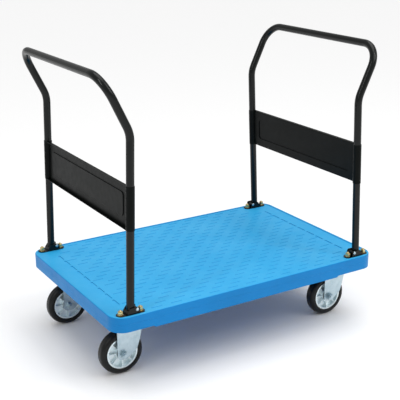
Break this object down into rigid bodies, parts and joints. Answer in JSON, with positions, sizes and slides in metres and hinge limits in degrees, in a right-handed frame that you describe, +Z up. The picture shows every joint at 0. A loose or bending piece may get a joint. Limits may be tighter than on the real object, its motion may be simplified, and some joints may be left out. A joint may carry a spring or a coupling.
{
  "type": "folding platform cart",
  "caption": "Flat moulded platform on swivel casters with a folding tube push handle and steel panel at each end; carries boxes and goods by hand over level floors.",
  "frame": {"origin": "on the floor under the middle of the deck", "axes": "+X along the deck towards the right handle, +Y across the deck to its rear side, +Z up"},
  "size_m": [0.9126, 0.6, 0.8724],
  "materials": {
    "deck_plastic": "semi-matte injection-moulded polypropylene, fine texture",
    "black_steel": "black powder coat, satin",
    "yellow_zinc": "yellow passivated zinc plating",
    "bright_zinc": "bright zinc-plated pressed steel",
    "cast_aluminium": "die-cast aluminium",
    "tyre_rubber": "solid black rubber tyre",
    "bearing_steel": "ground bearing steel"
  },
  "bodies": {
    "deck_frame": {"deck": "deck_plastic", "foot_bracket_left_front": "black_steel", "foot_bracket_left_rear": "black_steel", "foot_bracket_right_front": "black_steel", "foot_bracket_right_rear": "black_steel", "pivot_pins": "bright_zinc", "foot_bolts": "yellow_zinc", "foot_flat_washers": "yellow_zinc", "foot_spring_washers": "yellow_zinc", "foot_nuts": "yellow_zinc", "caster_plate_left_front": "bright_zinc", "caster_plate_left_rear": "bright_zinc", "caster_plate_right_front": "bright_zinc", "caster_plate_right_rear": "bright_zinc", "kingpins": "bright_zinc", "swivel_balls": "bearing_steel", "caster_bolts": "yellow_zinc", "caster_spring_washers": "yellow_zinc", "insert_nuts": "bright_zinc"},
    "left_handle": {"left_handle_tube": "black_steel", "left_handle_panel": "black_steel", "left_pivot_sleeves": "black_steel"},
    "right_handle": {"right_handle_tube": "black_steel", "right_handle_panel": "black_steel", "right_pivot_sleeves": "black_steel"},
    "swivel_left_front": {"caster_fork_left_front": "bright_zinc", "axle_bolt_left_front": "bright_zinc", "axle_nut_left_front": "bright_zinc", "axle_spacers_left_front": "bright_zinc"},
    "wheel_left_front": {"wheel_core_left_front": "cast_aluminium", "tyre_left_front": "tyre_rubber", "wheel_bearings_left_front": "bearing_steel"},
    "swivel_left_rear": {"caster_fork_left_rear": "bright_zinc", "axle_bolt_left_rear": "bright_zinc", "axle_nut_left_rear": "bright_zinc", "axle_spacers_left_rear": "bright_zinc"},
    "wheel_left_rear": {"wheel_core_left_rear": "cast_aluminium", "tyre_left_rear": "tyre_rubber", "wheel_bearings_left_rear": "bearing_steel"},
    "swivel_right_front": {"caster_fork_right_front": "bright_zinc", "axle_bolt_right_front": "bright_zinc", "axle_nut_right_front": "bright_zinc", "axle_spacers_right_front": "bright_zinc"},
    "wheel_right_front": {"wheel_core_right_front": "cast_aluminium", "tyre_right_front": "tyre_rubber", "wheel_bearings_right_front": "bearing_steel"},
    "swivel_right_rear": {"caster_fork_right_rear": "bright_zinc", "axle_bolt_right_rear": "bright_zinc", "axle_nut_right_rear": "bright_zinc", "axle_spacers_right_rear": "bright_zinc"},
    "wheel_right_rear": {"wheel_core_right_rear": "cast_aluminium", "tyre_right_rear": "tyre_rubber", "wheel_bearings_right_rear": "bearing_steel"}
  },
  "joints": [
    {"name": "left_handle_fold", "type": "hinge", "parent": "deck_frame", "child": "left_handle", "pos_m": [-0.376, 0, 0.232], "axis": [0, 1, 0], "range_deg": [0, 87.5]},
    {"name": "right_handle_fold", "type": "hinge", "parent": "deck_frame", "child": "right_handle", "pos_m": [0.376, 0, 0.232], "axis": [0, -1, 0], "range_deg": [0, 55]},
    {"name": "swivel_left_front", "type": "hinge", "parent": "deck_frame", "child": "swivel_left_front", "pos_m": [-0.36525, -0.189, 0.146], "axis": [0, 0, 1], "continuous": true},
    {"name": "wheel_left_front", "type": "hinge", "parent": "swivel_left_front", "child": "wheel_left_front", "pos_m": [-0.38425, -0.189, 0.065], "axis": [0, 1, 0], "continuous": true},
    {"name": "swivel_left_rear", "type": "hinge", "parent": "deck_frame", "child": "swivel_left_rear", "pos_m": [-0.36525, 0.189, 0.146], "axis": [0, 0, 1], "continuous": true},
    {"name": "wheel_left_rear", "type": "hinge", "parent": "swivel_left_rear", "child": "wheel_left_rear", "pos_m": [-0.38425, 0.189, 0.065], "axis": [0, 1, 0], "continuous": true},
    {"name": "swivel_right_front", "type": "hinge", "parent": "deck_frame", "child": "swivel_right_front", "pos_m": [0.36525, -0.189, 0.146], "axis": [0, 0, 1], "continuous": true},
    {"name": "wheel_right_front", "type": "hinge", "parent": "swivel_right_front", "child": "wheel_right_front", "pos_m": [0.34625, -0.189, 0.065], "axis": [0, 1, 0], "continuous": true},
    {"name": "swivel_right_rear", "type": "hinge", "parent": "deck_frame", "child": "swivel_right_rear", "pos_m": [0.36525, 0.189, 0.146], "axis": [0, 0, 1], "continuous": true},
    {"name": "wheel_right_rear", "type": "hinge", "parent": "swivel_right_rear", "child": "wheel_right_rear", "pos_m": [0.34625, 0.189, 0.065], "axis": [0, 1, 0], "continuous": true}
  ]
}
